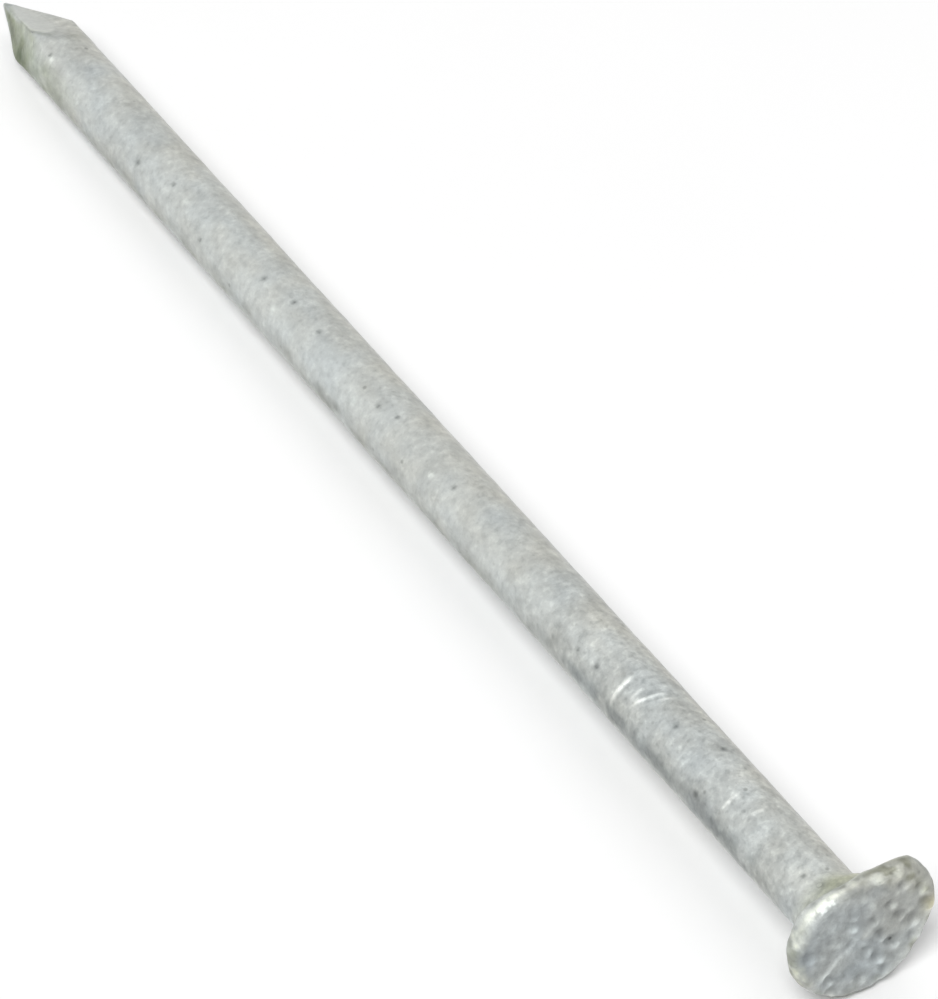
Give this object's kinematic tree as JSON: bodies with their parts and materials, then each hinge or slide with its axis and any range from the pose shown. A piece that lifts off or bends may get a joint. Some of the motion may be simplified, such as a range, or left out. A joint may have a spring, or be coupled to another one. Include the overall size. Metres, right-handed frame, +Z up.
{
  "type": "round wire nail",
  "caption": "Long hot-dip galvanised round wire nail with a thin flat round head, grip ridges under the head and a diamond point.",
  "frame": {"origin": "the point where the shank's centreline meets the struck face of the head", "axes": "+X along the shank from the point to the head, square to the struck face; +Z up, with the nail lying on its side; the point is at X = -101.9 mm"},
  "size_m": [0.1019, 0.0097, 0.0088],
  "materials": {
    "bare_steel": "drawn and cold-headed low-carbon steel, satin",
    "galvanised_zinc": "dull hot-dip galvanised zinc, pale grey, lumpy and mottled"
  },
  "bodies": {
    "root": {"steel_nail": "bare_steel", "zinc_coating": "galvanised_zinc"}
  },
  "joints": []
}
